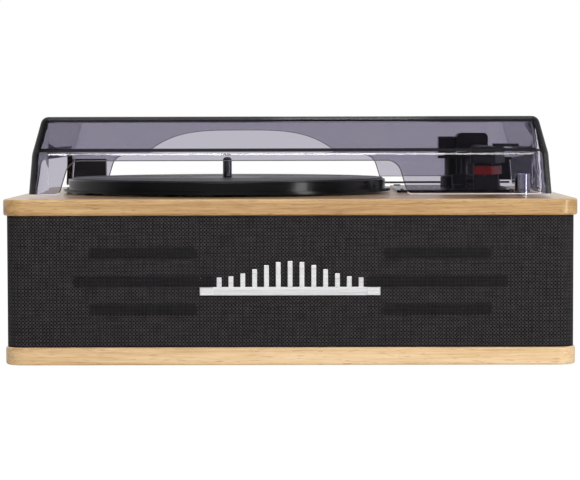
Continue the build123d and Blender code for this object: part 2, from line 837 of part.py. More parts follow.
# Bearing block that carries the arm's level axle
block_right = hub_left - side_gap
table_top = pillar_top + turret_plate
with BuildPart() as arm_bearing_block:
    with BuildSketch(Plane.YZ.offset(turret_left)):
        with Locations((pivot_y, deck_z + (table_top + bearing_top) / 2)):
            RectangleRounded(2 * bearing_half, bearing_top - table_top, 2.0)
        with Locations((pivot_y, deck_z + axle_z)):
            Circle(axle_radius, mode=Mode.SUBTRACT)
    extrude(amount=block_right - turret_left)
finish(arm_bearing_block, "arm_bearing_block")

# Axle, fixed in the block, on which the arm's hub tilts
axle_reach = 16.0
with BuildPart() as arm_pivot_pin:
    with BuildSketch(Plane.YZ.offset(turret_left + 1)):
        with Locations((pivot_y, deck_z + axle_z)):
            Circle(axle_radius)
    extrude(amount=hub_left + axle_reach - turret_left - 1)
finish(arm_pivot_pin, "arm_pivot_pin")

# Hub of the arm, a rounded housing on the axle
with BuildPart() as arm_hub:
    with BuildSketch(Plane.XZ.offset(-(pivot_y - hub_front))):
        with Locations(((hub_left + hub_right) / 2, deck_z + (hub_bottom + hub_top) / 2)):
            RectangleRounded(hub_right - hub_left, hub_top - hub_bottom, 4.0)
    extrude(amount=-(hub_front + hub_rear))
    with BuildSketch(Plane.YZ.offset(hub_left)):
        with Locations((pivot_y, deck_z + axle_z)):
            Circle(axle_radius + running_gap)
    extrude(amount=axle_reach + 0.5, mode=Mode.SUBTRACT)
finish(arm_hub, "arm_hub")

# Arm tube from the hub's front face to the headshell
with BuildPart() as arm_tube:
    with BuildSketch(Plane.XZ.offset(-(pivot_y - hub_front))):
        with Locations((tube_x, deck_z + tube_z)):
            Circle(tube_radius)
    extrude(amount=pivot_y - hub_front - tube_end)
finish(arm_tube, "arm_tube")

# Counterweight behind the hub, on a short stub of its own
weight_gap = 2.0
with BuildPart() as counterweight:
    with BuildSketch(Plane.XZ.offset(-(pivot_y + hub_rear))):
        with Locations((tube_x, deck_z + weight_z)):
            Circle(4.0)
    extrude(amount=-weight_gap)
    with BuildSketch(Plane.XZ.offset(-(pivot_y + hub_rear + weight_gap))):
        with Locations((tube_x, deck_z + weight_z)):
            Circle(weight_radius)
    extrude(amount=-weight_length)
    chamfer(counterweight.faces().sort_by(Axis.Y)[-1].edges(), 1.0)
finish(counterweight, "counterweight")

# Headshell, an open-bottomed shell turned towards the spindle, and what it holds
head_plane = Plane(origin=(tube_x, tube_end, deck_z), z_dir=(0, 0, 1)).rotated((0, 0, -head_angle))
head_mid = -head_length / 2
head_gap = 3.6
head_roof = 3.0
cartridge_length = 26.0
cartridge_mid = -(head_length - 4 - cartridge_length / 2)
with BuildPart() as headshell:
    with BuildSketch(head_plane.offset(head_bottom)):
        with Locations((0, head_mid - head_gap / 2)):
            RectangleRounded(head_width, head_length - head_gap, 3)
    extrude(amount=head_top - head_bottom)
    fillet(headshell.faces().sort_by(Axis.Z)[-1].edges(), 1.5)
    with BuildSketch(Plane.XZ.offset(-tube_end)):
        with Locations((tube_x, deck_z + tube_z)):
            Circle(tube_radius)
    extrude(amount=head_gap + head_wall)
    with BuildSketch(head_plane.offset(head_bottom)):
        with Locations((0, head_mid - head_gap / 2)):
            Rectangle(head_width - 2 * head_wall, head_length - head_gap - 2 * head_wall)
    extrude(amount=head_top - head_bottom - head_roof, mode=Mode.SUBTRACT)
finish(headshell, "headshell")

with BuildPart() as cartridge:
    with BuildSketch(head_plane.offset(cartridge_bottom)):
        with Locations((0, cartridge_mid)):
            Rectangle(cartridge_width, cartridge_length)
    extrude(amount=head_top - head_roof - cartridge_bottom)
finish(cartridge, "cartridge")

# Stylus holder under the cartridge, with the fine needle at its front
needle_radius = 0.4
with BuildPart() as stylus_holder:
    with BuildSketch(head_plane.offset(stylus_bottom)):
        with Locations((0, cartridge_mid)):
            RectangleRounded(cartridge_width + 2, cartridge_length, 2)
    extrude(amount=cartridge_bottom - stylus_bottom)
    with BuildSketch(head_plane.offset(stylus_tip)):
        with Locations((0, -(head_length - 8))):
            Circle(needle_radius)
    extrude(amount=stylus_bottom - stylus_tip)
finish(stylus_holder, "stylus_holder")

# Finger lift, a flat blade on the shell's roof that runs out to a point at the right
blade_thickness = 2.2
blade_left = 3.0
blade_root = 12.0
blade_y = tube_end - 20.0
blade_tip_x = 170.5
with BuildPart() as finger_lift:
    with BuildSketch(Plane.XY.offset(deck_z + head_top)):
        with BuildLine():
            Polyline((tube_x - blade_left, blade_y), (tube_x + blade_root, blade_y - 1.0),
                     (blade_tip_x, blade_y + 3.0), (tube_x + blade_root, blade_y + 7.0),
                     (tube_x - blade_left, blade_y + 7.0), (tube_x - blade_left, blade_y))
        make_face()
    extrude(amount=blade_thickness)
finish(finger_lift, "finger_lift")

# Lift platform, an arc of bar under the tube on one post
lift_top = tube_z - tube_radius - lift_gap
with BuildPart() as lift_platform:
    with BuildSketch(Plane.XY.offset(deck_z + lift_top - lift_thickness)):
        with BuildLine():
            arc_start = -90 - 36
            arc_turn = 60
            outer_arc = CenterArc((pivot_x, pivot_y), lift_outer, arc_start, arc_turn)
            inner_arc = CenterArc((pivot_x, pivot_y), lift_inner, arc_start, arc_turn)
            Line(outer_arc @ 0, inner_arc @ 0)
            Line(outer_arc @ 1, inner_arc @ 1)
        make_face()
    extrude(amount=lift_thickness)
    with BuildSketch(Plane.XY.offset(deck_z - 5)):
        with Locations((lift_x, lift_y)):
            Circle(lift_post)
    extrude(amount=lift_top - lift_thickness + 5)
finish(lift_platform, "lift_platform")

# Guide of the lift post, with ears for the cue lever's shaft
guide_height = 10.0
cue_z = plate_thickness + 5.0
cue_shaft = 1.5
guide_width = 12.0
with BuildPart() as lift_housing:
    with BuildSketch(Plane.XY.offset(plate_z)):
        with Locations((lift_x, lift_y)):
            RectangleRounded(guide_width, 14.0, 2.0)
            Circle(lift_post + 0.08, mode=Mode.SUBTRACT)
    extrude(amount=guide_height)
    with BuildSketch(Plane.YZ.offset(lift_x + guide_width / 2)):
        with Locations((cue_y, deck_z + cue_z)):
            Circle(cue_shaft + running_gap)
    extrude(amount=-guide_width, mode=Mode.SUBTRACT)
finish(lift_housing, "lift_housing")

# Cue lever, a shaft through the guide and a handle at the right
cue_reach = 24.0
with BuildPart() as cue_lever:
    with BuildSketch(Plane.YZ.offset(lift_x - guide_width / 2)):
        with Locations((cue_y, deck_z + cue_z)):
            Circle(cue_shaft)
    extrude(amount=plate_right - 8.0 - lift_x + guide_width / 2)
    with BuildSketch(Plane.YZ.offset(plate_right - 8.0 - 4.0)):
        with Locations((cue_y - cue_reach / 2, deck_z + cue_z)):
            SlotOverall(cue_reach + 5.0, 4.0)
    extrude(amount=4.0)
finish(cue_lever, "cue_lever")

# Arm rest: a post with a shelf under the tube and a stop at its right that holds the clip's pin
rest_gap = 0.4
rest_x = tube_x + 1.5
shelf_top = tube_z - tube_radius - rest_gap
stop_left = tube_x + tube_radius + 0.8
stop_width = 6.0
stop_top = tube_z + 3.0
clip_pin_radius = 1.2
clip_pin_x = stop_left + stop_width / 2
clip_pin_z = tube_z + 0.3
with BuildPart() as arm_rest:
    with BuildSketch(Plane.XY.offset(plate_z)):
        with Locations((rest_x, rest_y)):
            RectangleRounded(rest_width, rest_depth, 2.0)
    extrude(amount=shelf_top - plate_thickness)
    with BuildSketch(Plane.XZ.offset(-(rest_y - rest_depth / 2))):
        with Locations((clip_pin_x, deck_z + (shelf_top + stop_top) / 2)):
            Rectangle(stop_width, stop_top - shelf_top)
    extrude(amount=-rest_depth)
    with BuildSketch(Plane.XZ.offset(-(rest_y - rest_depth / 2))):
        with Locations((clip_pin_x, deck_z + clip_pin_z)):
            Circle(clip_pin_radius)
    extrude(amount=-rest_depth, mode=Mode.SUBTRACT)
finish(arm_rest, "arm_rest")

# Rest clip, a bent hook on a pin in the stop, stored open and turned over to the right
clip_gap = 0.35
clip_thickness = 2.0
clip_band = 2.4
clip_reach = 13.0
clip_rise = tube_z + tube_radius + 0.6 - clip_pin_z
clip_front = rest_y - rest_depth / 2 - clip_gap - clip_thickness
with BuildPart() as arm_rest_clip:
    with BuildSketch(Plane.XZ.offset(-clip_front)):
        with Locations((clip_pin_x, deck_z + clip_pin_z)):
            Circle(clip_pin_radius + 1.4)
        with Locations((clip_pin_x, deck_z + clip_pin_z - (clip_rise + clip_band) / 2)):
            Rectangle(clip_band, clip_rise + clip_band)
        finger_x = clip_pin_x + (clip_reach - clip_band / 2) / 2
        with Locations((finger_x, deck_z + clip_pin_z - clip_rise - clip_band / 2)):
            Rectangle(clip_reach + clip_band / 2, clip_band)
    extrude(amount=-clip_thickness)
    with BuildSketch(Plane.XZ.offset(-clip_front)):
        with Locations((clip_pin_x, deck_z + clip_pin_z)):
            Circle(clip_pin_radius - running_gap)
    extrude(amount=-(rest_depth + clip_gap + clip_thickness))
finish(arm_rest_clip, "arm_rest_clip")


def cover_form(inset, top_drop, edge, kink_round):
    """The cover's form from its rim to its top, each wall moved in by inset and the top lowered."""
    rim = deck_z + cover_lift
    kink = cover_kink - cover_lift
    upper = cover_height - cover_kink - top_drop
    lower_in = kink * tan(radians(lower_lean))
    with BuildPart() as form:
        with BuildSketch(Plane.XY.offset(rim)):
            with Locations((0, cover_y)):
                RectangleRounded(cover_width - 2 * inset, cover_depth - 2 * inset, cover_corner - inset)
        extrude(amount=kink, taper=lower_lean)
        with BuildSketch(Plane.XY.offset(rim + kink)):
            with Locations((0, cover_y)):
                RectangleRounded(cover_width - 2 * inset - 2 * lower_in,
                                 cover_depth - 2 * inset - 2 * lower_in, cover_corner - inset - lower_in)
        extrude(amount=upper, taper=upper_lean)
        if kink_round > 0:
            bends = form.edges().filter_by_position(Axis.Z, rim + kink - 0.01, rim + kink + 0.01)
            fillet(bends, kink_round)
        if edge > 0:
            fillet(form.faces().sort_by(Axis.Z)[-1].edges(), edge)
    return form.part


def cut_profile(plane, middle, half):
    """A cut-out's face: round upper corners, sides that lean out, and a round foot to each leg beside it."""
    rim = deck_z + cover_lift
    low = half + cut_slope * (cut_top - cover_lift)
    with BuildSketch(plane) as profile:
        with BuildLine():
            Polyline((middle - half, deck_z + cut_top), (middle + half, deck_z + cut_top),
                     (middle + low, rim), (middle + low + 2 * leg_round, rim),
                     (middle + low + 2 * leg_round, rim - 2), (middle - low - 2 * leg_round, rim - 2),
                     (middle - low - 2 * leg_round, rim), (middle - low, rim),
                     (middle - half, deck_z + cut_top))
        make_face()
        fillet(profile.vertices().group_by(Axis.Y)[-1], cut_round)
        feet = profile.vertices().filter_by_position(Axis.Y, rim - 0.01, rim + 0.01).sort_by(Axis.X)
        fillet(feet[1:3], leg_round)
    return profile.sketch


# Dust cover: a smoked shell with a cut-out at the front, left and rear for the record's edge
cover_outer = cover_form(0.0, 0.0, cover_top_edge, cover_kink_round)
cover_inner = cover_form(cover_wall, cover_wall, 1.5, 0.0)
cut_through = 30.0
front_cut = extrude(cut_profile(Plane.XZ.offset(depth / 2), cut_x, front_cut_half),
                    amount=-(cover_setback + cut_through))
side_cut = extrude(cut_profile(Plane.YZ.offset(-width / 2), platter_y, side_cut_half),
                   amount=(width - cover_width) / 2 + cut_through)
rear_cut = extrude(cut_profile(Plane.XZ.offset(-depth / 2), cut_x, rear_cut_half),
                   amount=depth / 2 - cover_rear + cut_through)
with BuildPart() as dust_cover:
    add(cover_outer)
    add(cover_inner, mode=Mode.SUBTRACT)
    add(front_cut, mode=Mode.SUBTRACT)
    add(side_cut, mode=Mode.SUBTRACT)
    add(rear_cut, mode=Mode.SUBTRACT)
    with BuildSketch(Plane.XZ.offset(-depth / 2)):
        with BuildLine():
            arch = Spline((arch_x - arch_half, deck_z + cut_top + 5.0),
                          (arch_x - arch_half * 0.77, deck_z + arch_top - 6.5),
                          (arch_x, deck_z + arch_top),
                          (arch_x + arch_half * 0.77, deck_z + arch_top - 6.5),
                          (arch_x + arch_half, deck_z + cut_top + 5.0))
            Polyline(arch @ 1, (arch_x + arch_half + 4.0, deck_z + cut_top - 2.0),
                     (arch_x - arch_half - 4.0, deck_z + cut_top - 2.0), arch @ 0)
        make_face()
    extrude(amount=depth / 2 - cover_rear + cut_through, mode=Mode.SUBTRACT)
    with BuildSketch(Plane.XZ.offset(-depth / 2)):
        with Locations((0, deck_z + rear_edge_height / 2)):
            Rectangle(width, rear_edge_height)
    extrude(amount=depth / 2 - cover_rear + cover_corner, mode=Mode.SUBTRACT)
finish(dust_cover, "dust_cover")

# Hinge blocks in the cover's rear corners, each with a heel that turns on the hinge rod
rod_y = cover_rear + rod_setback
heel_radius = 3.0
block_gap = 0.3
block_front = cover_rear - cover_wall - hinge_block_depth
block_room = cover_form(cover_wall + block_gap, cover_wall + block_gap, 0.0, 0.0)
hinge_outer = cover_width / 2 - cover_wall - block_gap
hinge_place = (hinge_inner + hinge_outer) / 2 - 1.5
heel_half = 5.0
for side, sx in (("left", -1), ("right", 1)):
    hinge_mid = sx * hinge_place
    with BuildPart() as hinge_block:
        with BuildSketch(Plane.XY.offset(deck_z + hinge_block_bottom)):
            with Locations((sx * (hinge_inner + hinge_outer) / 2, (block_front + cover_rear) / 2)):
                Rectangle(hinge_outer - hinge_inner, cover_rear - block_front)
        extrude(amount=hinge_block_top - hinge_block_bottom)
        add(block_room, mode=Mode.INTERSECT)
        with BuildSketch(Plane.YZ.offset(hinge_mid)):
            with BuildLine():
                Polyline((block_front + 4, deck_z + hinge_block_bottom + 3),
                         (block_front + 4, deck_z + rod_z - heel_radius + 1),
                         (rod_y, deck_z + rod_z - heel_radius + 1), (rod_y, deck_z + rod_z + heel_radius),
                         (block_front + 8, deck_z + hinge_block_bottom + 3),
                         (block_front + 4, deck_z + hinge_block_bottom + 3))
            make_face()
            with Locations((rod_y, deck_z + rod_z)):
                Circle(heel_radius)
                Circle(rod_radius + running_gap, mode=Mode.SUBTRACT)
        extrude(amount=heel_half, both=True)
    finish(hinge_block, f"hinge_block_{side}")

# Hinge rod, one thin steel rod across the rear of the deck
rod_half = hinge_outer
with BuildPart() as hinge_rod:
    with BuildSketch(Plane.YZ.offset(-rod_half)):
        with Locations((rod_y, deck_z + rod_z)):
            Circle(rod_radius)
    extrude(amount=2 * rod_half)
finish(hinge_rod, "hinge_rod")

# Brackets on the deck that hold the rod, one pair at each hinge
with BuildPart() as hinge_brackets:
    for sx in (-1, 1):
        hinge_mid = sx * hinge_place
        for step in (-1, 1):
            ear_x = hinge_mid + step * (heel_half + side_gap + bracket_thickness / 2)
            with BuildSketch(Plane.YZ.offset(ear_x)):
                with Locations((rod_y, deck_z + rod_z / 2)):
                    Rectangle(5.0, rod_z)
                with Locations((rod_y, deck_z + rod_z)):
                    Circle(2.5)
                    Circle(rod_radius, mode=Mode.SUBTRACT)
            extrude(amount=bracket_thickness / 2, both=True)
finish(hinge_brackets, "hinge_brackets")
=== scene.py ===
import bmesh
import bpy
import numpy as np
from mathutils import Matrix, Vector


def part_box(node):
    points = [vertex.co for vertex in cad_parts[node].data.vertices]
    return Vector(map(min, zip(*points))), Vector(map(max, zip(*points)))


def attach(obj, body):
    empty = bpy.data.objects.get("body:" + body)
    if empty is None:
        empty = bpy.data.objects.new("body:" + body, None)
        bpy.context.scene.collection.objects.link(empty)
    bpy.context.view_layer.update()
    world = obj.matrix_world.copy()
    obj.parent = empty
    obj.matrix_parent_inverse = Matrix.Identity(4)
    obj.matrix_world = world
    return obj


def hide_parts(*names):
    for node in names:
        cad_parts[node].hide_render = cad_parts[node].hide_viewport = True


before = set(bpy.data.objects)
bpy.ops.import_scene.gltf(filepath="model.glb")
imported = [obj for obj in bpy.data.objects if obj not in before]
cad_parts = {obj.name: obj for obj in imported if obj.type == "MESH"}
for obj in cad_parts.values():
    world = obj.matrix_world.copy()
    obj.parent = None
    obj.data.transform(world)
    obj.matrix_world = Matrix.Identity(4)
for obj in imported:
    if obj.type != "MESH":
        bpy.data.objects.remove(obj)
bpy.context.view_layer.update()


# Base board: a solid board of pale lacquered wood, sawn with the grain running across the front and eased
# along its edges. It stands on four feet and carries the whole body.
class Wire:
    """An output socket. The operators on it, from either side, add one Math node and give that node's output."""

    def __init__(self, finish, socket):
        self.finish = finish
        self.socket = socket

    def maths(self, operation, first, second):
        return self.finish.node("ShaderNodeMath", {"operation": operation}, {0: first, 1: second})

    def __add__(self, other):
        return self.maths("ADD", self, other)

    def __radd__(self, other):
        return self.maths("ADD", other, self)

    def __sub__(self, other):
        return self.maths("SUBTRACT", self, other)

    def __rsub__(self, other):
        return self.maths("SUBTRACT", other, self)

    def __mul__(self, other):
        return self.maths("MULTIPLY", self, other)

    def __rmul__(self, other):
        return self.maths("MULTIPLY", other, self)

    def __gt__(self, other):
        return self.maths("GREATER_THAN", self, other)

    def __lt__(self, other):
        return self.maths("LESS_THAN", self, other)

    def __abs__(self):
        return self.maths("ABSOLUTE", self, 0.0)


class Finish:
    """A finish: a material, or the surround, whose nodes are all added by node()."""

    def __init__(self, name, store=bpy.data.materials):
        self.material = store.new(name)
        self.material.use_nodes = True
        self.nodes = self.material.node_tree.nodes
        self.links = self.material.node_tree.links
        self.nodes.clear()

    def node(self, kind, settings, values, out=0):
        """Adds one node: its settings come first, then the values or links of its sockets."""
        made = self.nodes.new(kind)
        for key, value in settings.items():
            if key == "stops":
                ramp = made.color_ramp
                while len(ramp.elements) < len(value):
                    ramp.elements.new(0.5)
                for element, (place, colour) in zip(ramp.elements, value):
                    element.position = place
                    element.color = colour
            else:
                setattr(made, key, value)
        for key, value in values.items():
            if isinstance(value, Wire):
                self.links.new(value.socket, made.inputs[key])
            else:
                made.inputs[key].default_value = value
        return Wire(self, made.outputs[out]) if made.outputs else None

    def place(self, scale=(1.0, 1.0, 1.0), shift=(0.0, 0.0, 0.0)):
        """The point's own place on the object, stretched and shifted."""
        here = self.node("ShaderNodeTexCoord", {}, {}, "Object")
        return self.node("ShaderNodeMapping", {}, {0: here, "Scale": scale, "Location": shift})

    def part(self, where, axis):
        """One part of a place, X, Y or Z."""
        return self.node("ShaderNodeSeparateXYZ", {}, {0: where}, axis)

    def larger(self, first, second):
        return self.node("ShaderNodeMath", {"operation": "MAXIMUM"}, {0: first, 1: second})

    def noise(self, where, scale, detail=2.0, roughness=0.5, distortion=0.0):
        return self.node("ShaderNodeTexNoise", {}, {"Vector": where, "Scale": scale, "Detail": detail,
                                                    "Roughness": roughness, "Distortion": distortion})

    def ramp(self, value, stops):
        return self.node("ShaderNodeValToRGB", {"stops": stops}, {0: value})

    def blend(self, share, first, second):
        """Mixes two colours: share 0 gives the first and 1 the second."""
        return self.node("ShaderNodeMix", {"data_type": "RGBA"}, {0: share, 6: first, 7: second}, 2)

    def mix(self, share, first, second):
        """Mixes two shaders: share 0 gives the first and 1 the second."""
        return self.node("ShaderNodeMixShader", {}, {0: share, 1: first, 2: second})

    def bump(self, height, distance, strength=1.0):
        return self.node("ShaderNodeBump", {}, {"Height": height, "Distance": distance, "Strength": strength})

    def shade(self, values, ends=True):
        """The Principled shader with these values, joined to the output unless ends is False."""
        shader = self.node("ShaderNodeBsdfPrincipled", {}, values)
        if ends:
            self.node("ShaderNodeOutputMaterial", {}, {0: shader})
        return shader


def tone(red, green, blue):
    """A colour given in the screen's 0 to 255 as linear light: ((c + 0.055) / 1.055) to the power 2.4."""
    screen = np.array([red, green, blue]) / 255.0
    linear = np.where(screen > 0.04045, ((screen + 0.055) / 1.055) ** 2.4, screen / 12.92)
    return (*[float(c) for c in linear], 1.0)


def paint(finish, *nodes):
    """Gives these CAD nodes the finish."""
    for name in nodes:
        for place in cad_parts[name].material_slots:
            place.material = finish.material


def timber(name, dark, middle, light, shift):
    """Lacquered wood with its grain along X: slow tone drift, long growth lines, fine dark pores and a thin
    clear coat. The pattern is solid, so the boards' ends show end grain."""
    wood = Finish(name)
    drift = wood.noise(wood.place((2.2, 9.0, 22.0), shift=shift), 2.0, 2.0, 0.5, 0.6)
    line = wood.noise(wood.place((1.4, 30.0, 75.0), shift=shift), 3.2, 4.0, 0.6, 1.1)
    streak = wood.noise(wood.place((14.0, 260.0, 420.0), shift=shift), 2.4, 3.0, 0.7)
    pore = wood.noise(wood.place((70.0, 700.0, 900.0), shift=shift), 1.6, 1.0, 0.5)
    value = drift * 0.4 + line * 0.42 + streak * 0.46
    colour = wood.ramp(value, [(0.47, dark), (0.62, middle), (0.78, light)])
    pores = wood.ramp(pore, [(0.62, (0, 0, 0, 1)), (0.72, (1, 1, 1, 1))])
    colour = wood.blend(pores * 0.7, colour, dark)
    smooth = 0.3 + streak * 0.22
    wood.shade({"Base Color": colour, "Roughness": smooth, "Coat Weight": 0.35, "Coat Roughness": 0.12,
                "Normal": wood.bump(streak * 0.6 - pores * 0.8, 0.00012, 0.5)})
    return wood


def piece(name, mesh, finish, body, slot, *nodes):
    """Puts a mesh into the scene as a piece that rides with a body and stands for these nodes."""
    made = bpy.data.objects.new(name, mesh)
    bpy.context.scene.collection.objects.link(made)
    mesh.materials.append(finish.material)
    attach(made, body)
    if nodes:
        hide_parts(*nodes)
    return made


def flat_regions(skin):
    """The flat region each face belongs to, walked over edges that hardly turn, as its area and its normal."""
    same_way = 0.99999
    region = {}
    for start in skin.faces:
        if start in region:
            continue
        members, waiting = [start], [start]
        region[start] = None
        while waiting:
            for edge in waiting.pop().edges:
                for face in edge.link_faces:
                    if face not in region and face.normal.dot(start.normal) > same_way:
                        region[face] = None
                        members.append(face)
                        waiting.append(face)
        area = sum(face.calc_area() for face in members)
        for face in members:
            region[face] = (area, start.normal.copy())
    return region


def eased(node, finish, body, slot, ease=0.0, angle=32.0, flat=0.001):
    """A copy of a CAD node's mesh as a piece of its own, with its points merged. It is shaded smooth over edges
    shallower than the angle, while regions larger than flat square metres stay quite flat. With ease, its flat
    faces are made whole and its sharper edges get a small bevel."""
    merge_within, flat_within = 2e-6, 0.004
    near = np.cos(np.radians(angle))
    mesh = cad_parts[node].data.copy()
    skin = bmesh.new()
    skin.from_mesh(mesh)
    bmesh.ops.remove_doubles(skin, verts=skin.verts, dist=merge_within)
    if ease:
        bmesh.ops.dissolve_limit(skin, angle_limit=flat_within, verts=skin.verts, edges=skin.edges)
    skin.normal_update()
    region = flat_regions(skin)
    directions = []
    for face in skin.faces:
        face.smooth = True
        for loop in face.loops:
            around = [other for other in loop.vert.link_faces if other.normal.dot(face.normal) > near]
            widest = max((region[other] for other in around), key=lambda known: known[0])
            if region[face][0] > flat:
                directions.append(region[face][1])
            elif widest[0] > flat:
                directions.append(widest[1])
            else:
                mean = sum((other.normal * other.calc_area() for other in around), face.normal * 1e-9)
                directions.append(mean.normalized())
    for edge in skin.edges:
        edge.smooth = edge.calc_face_angle(0.0) < np.radians(angle)
    skin.to_mesh(mesh)
    skin.free()
    mesh.name = node + "_made"
    mesh.materials.clear()
    made = piece(node + "_made", mesh, finish, body, slot, node)
    if ease:
        edge = made.modifiers.new("ease", "BEVEL")
        edge.width = ease
        edge.segments = 3
        edge.limit_method = "ANGLE"
        edge.angle_limit = np.radians(angle)
        flats = made.modifiers.new("flats", "WEIGHTED_NORMAL")
        flats.mode = "FACE_AREA"
        flats.weight = 100
        flats.thresh = 0.0
    else:
        mesh.normals_split_custom_set([tuple(way) for way in directions])
    return made


base_wood = timber("pale_wood", tone(176, 137, 90), tone(212, 177, 129), tone(228, 198, 156), (3.1, 0.4, 0.7))
eased("base_board", base_wood, "cabinet", "base_wood")

# Feet: four turned blocks of black rubber, each held up into the base by one sunk steel screw. The same rubber
# makes the motor's grommets, the belt and the speakers' surrounds. The steel also makes the other fixings.
rubber = Finish("foot_rubber")
speckle = rubber.noise(rubber.place(), 900.0, 2.0)
rubber.shade({"Base Color": rubber.ramp(speckle, [(0.3, tone(22, 22, 23)), (0.7, tone(38, 38, 39))]),
              "Roughness": 0.7 + speckle * 0.2, "Normal": rubber.bump(speckle, 0.0001, 0.4)})
paint(rubber, "rubber_feet", "motor_grommets", "drive_belt", "speaker_surround_left", "speaker_surround_right")
steel = Finish("zinc_steel")
brushed = steel.noise(steel.place((1.0, 1.0, 12.0)), 500.0, 3.0)
steel.shade({"Base Color": steel.ramp(brushed, [(0.3, (0.36, 0.36, 0.37, 1)), (0.7, (0.56, 0.56, 0.57, 1))]),
             "Metallic": 1.0, "Roughness": 0.25 + brushed * 0.2})
paint(steel, "cabinet_screws", "speaker_screws", "deck_screws", "arm_pivot_pin", "motor", "hinge_brackets")

# Carcass: posts, sides, front baffle and rear panel of board stained black, glued between base and top.
# The front baffle has three sound slots before each speaker, which show as darker bars through the cloth,
# partly through its open holes and partly by painted shade on the cloth.
carcass = Finish("black_stained_board")
fibre = carcass.noise(carcass.place((6.0, 60.0, 60.0)), 8.0, 4.0, 0.6)
carcass.shade({"Base Color": carcass.ramp(fibre, [(0.3, tone(50, 47, 48)), (0.7, tone(68, 64, 65))]),
               "Roughness": 0.62 + fibre * 0.2, "Normal": carcass.bump(fibre, 0.0001, 0.4)})
paint(carcass, "front_baffle", "side_panel_left", "side_panel_right", "rear_panel", "corner_posts")

# Speakers and electronics behind the baffle: pressed steel baskets, paper cones and a printed circuit board.
# The small black parts, there and on the deck, are moulded in one plastic with a fine grain.
basket = Finish("black_painted_steel")
grit = basket.noise(basket.place(), 1200.0, 2.0)
basket.shade({"Base Color": tone(36, 36, 38), "Metallic": 0.2, "Roughness": 0.4 + grit * 0.2})
paint(basket, "speaker_frame_left", "speaker_frame_right", "speaker_magnet_left", "speaker_magnet_right")
paper = Finish("pressed_paper")
pulp = paper.noise(paper.place(), 700.0, 4.0)
paper.shade({"Base Color": paper.ramp(pulp, [(0.3, tone(24, 24, 25)), (0.7, tone(44, 43, 42))]),
             "Roughness": 0.9, "Normal": paper.bump(pulp, 0.0002, 0.5)})
paint(paper, "speaker_cone_left", "speaker_cone_right")
circuit = Finish("circuit_board")
track = circuit.node("ShaderNodeTexBrick", {}, {"Vector": circuit.place(), "Scale": 90.0, "Mortar Size": 0.03,
                                                "Color1": tone(18, 82, 44), "Color2": tone(22, 92, 50),
                                                "Mortar": tone(60, 130, 80)})
circuit.shade({"Base Color": track, "Roughness": 0.35})
paint(circuit, "amplifier_board")
moulded = Finish("black_moulded_plastic")
fine = moulded.noise(moulded.place(), 1500.0, 2.0)
moulded.shade({"Base Color": tone(26, 26, 28), "Roughness": 0.4 + fine * 0.25,
               "Normal": moulded.bump(fine, 0.00005, 0.4)})
paint(moulded, "amplifier_components", "line_sockets", "power_inlet", "volume_control", "motor_pulley",
      "lift_housing", "arm_rest", "cue_lever", "speed_selector", "auto_stop_switch")


# Grille cloth: one length of black woven speaker cloth, stretched round the body over the posts and turned in
# beside the rear panel. Its coarse yarns cross on the slant, open enough for the slots to show between them.
def sheet_mesh(name, points, closed_u=False, closed_v=False, lengths=None):
    """A surface through a grid of points, rows by columns, with its own UV map. Rows and columns may close on
    themselves. The map holds lengths, or the row and column as shares of their counts."""
    rows, columns = points.shape[:2]
    row = np.arange(rows if closed_u else rows - 1)
    column = np.arange(columns if closed_v else columns - 1)
    r, c = [a.ravel() for a in np.meshgrid(row, column, indexing="ij")]
    r2, c2 = (r + 1) % rows, (c + 1) % columns
    faces = np.stack([r * columns + c, r2 * columns + c, r2 * columns + c2, r * columns + c2], 1)
    mesh = bpy.data.meshes.new(name)
    mesh.from_pydata(points.reshape(-1, 3), [], faces)
    if lengths is None:
        lengths = np.stack(np.meshgrid(np.arange(rows) / rows, np.arange(columns) / columns, indexing="ij"), 2)
    ways = mesh.uv_layers.new(name="ways")
    ways.data.foreach_set("uv", lengths.reshape(-1, 2)[faces.ravel()].astype(np.float32).ravel())
    mesh.polygons.foreach_set("use_smooth", np.ones(len(faces), bool))
    mesh.update()
    return mesh


def rounded_path(half_x, half_y, radius, steps):
    """Points round a rectangle with round corners, from the middle of the rear side and back to it, with the
    length of the way to each point."""
    turns = np.linspace(0, np.pi / 2, steps)
    way = [[(0.0, half_y)]]
    for start, sx, sy in ((np.pi / 2, -1, 1), (np.pi, -1, -1), (1.5 * np.pi, 1, -1), (0.0, 1, 1)):
        angle = start + turns
        way.append(np.stack([sx * (half_x - radius) + radius * np.cos(angle),
                             sy * (half_y - radius) + radius * np.sin(angle)], 1))
    way.append([(0.0, half_y)])
    points = np.concatenate([np.array(p, float) for p in way])
    run = np.concatenate([[0.0], np.cumsum(np.linalg.norm(np.diff(points, axis=0), axis=1))])
    return points, run


cloth_low, cloth_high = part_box("grille_cloth")
panel_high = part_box("rear_panel")[1]
cloth_wall = 0.0008
corner_radius, corner_steps = 0.0135, 12
beside_panel = 0.0004
columns_round, rows_up = 900, 50
rim, run = rounded_path(cloth_high[0] - cloth_wall / 2, cloth_high[1] - cloth_wall / 2, corner_radius, corner_steps)
round_run = run[-1]
turned_in = panel_high[0] + beside_panel
ways = np.linspace(turned_in, round_run - turned_in, columns_round)
around = np.stack([np.interp(ways, run, rim[:, 0]), np.interp(ways, run, rim[:, 1])], 1)
heights = np.linspace(cloth_low[2], cloth_high[2], rows_up)
grid = np.concatenate([np.repeat(around[None], len(heights), 0),
                       np.repeat(heights[:, None], len(ways), 1)[..., None]], 2)
measure = np.stack([np.repeat(ways[None], len(heights), 0), np.repeat(heights[:, None], len(ways), 1)], 2)

